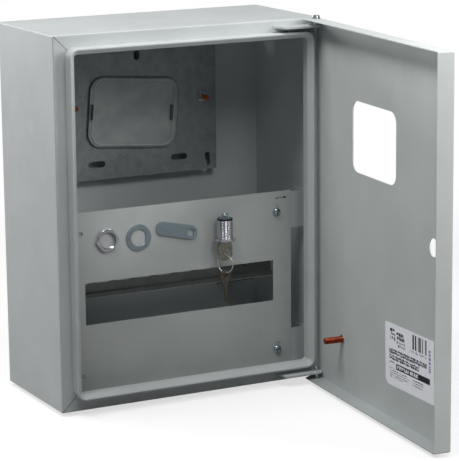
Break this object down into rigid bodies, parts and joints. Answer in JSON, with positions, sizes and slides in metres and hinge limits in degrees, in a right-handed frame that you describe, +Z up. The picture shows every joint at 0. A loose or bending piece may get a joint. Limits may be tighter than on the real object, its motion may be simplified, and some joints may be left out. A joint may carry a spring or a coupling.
{
  "type": "electric meter box",
  "caption": "Wall-mounted sheet steel meter box with a hinged windowed door, meter plate, switchgear rail and cover panel.",
  "frame": {"origin": "centre of the four wall holes, on the outer face of the back", "axes": "+Y into the wall, +Z up, +X to the right seen from the front; the door is open"},
  "size_m": [0.31, 0.4544, 0.4024],
  "materials": {
    "cabinet_paint": "satin",
    "door_paint": "satin",
    "panel_paint": "satin",
    "galvanised": "mottled",
    "rail_steel": "satin",
    "zinc": "bright zinc",
    "copper": "copper plated",
    "label": "printed film",
    "pane": "clear",
    "lock_chrome": "satin",
    "dark_plastic": "matt",
    "key_metal": "nickel"
  },
  "bodies": {
    "cabinet": {"body_shell": "cabinet_paint", "hinge_leaf_upper": "cabinet_paint", "hinge_leaf_lower": "cabinet_paint", "hinge_screw_upper": "zinc", "hinge_screw_lower": "zinc", "meter_plate": "galvanised", "plate_studs": "copper", "plate_washers": "zinc", "plate_nuts": "zinc", "inner_panel": "panel_paint", "panel_bracket_upper_left": "cabinet_paint", "panel_bracket_upper_right": "cabinet_paint", "panel_bracket_lower_left": "cabinet_paint", "panel_bracket_lower_right": "cabinet_paint", "panel_screws": "zinc", "din_rail": "rail_steel", "rail_support_left": "galvanised", "rail_support_right": "galvanised", "rail_screws": "zinc", "window_pane": "pane", "lock_body": "lock_chrome", "lock_nut": "lock_chrome", "lock_washer": "zinc", "lock_cam": "zinc"},
    "door": {"door_panel": "door_paint", "door_flange_top": "door_paint", "door_flange_bottom": "door_paint", "door_flange_free": "door_paint", "door_flange_hinge": "door_paint", "door_earth_stud": "copper", "door_stud_washer": "zinc", "door_label": "label"},
    "lock_plug": {"lock_plug": "lock_chrome", "lock_collar": "dark_plastic", "cam_screw": "zinc", "key_in_lock": "key_metal", "key_ring": "key_metal", "spare_key": "key_metal"}
  },
  "joints": [
    {"name": "door_hinge", "type": "hinge", "parent": "cabinet", "child": "door", "pos_m": [0.1425, -0.1575, 0], "axis": [0, 0, 1], "range_deg": [-85, 7]},
    {"name": "lock_turn", "type": "hinge", "parent": "cabinet", "child": "lock_plug", "pos_m": [0.0476, -0.1265, -0.03], "axis": [0, 0, 1], "range_deg": [0, 90]}
  ]
}
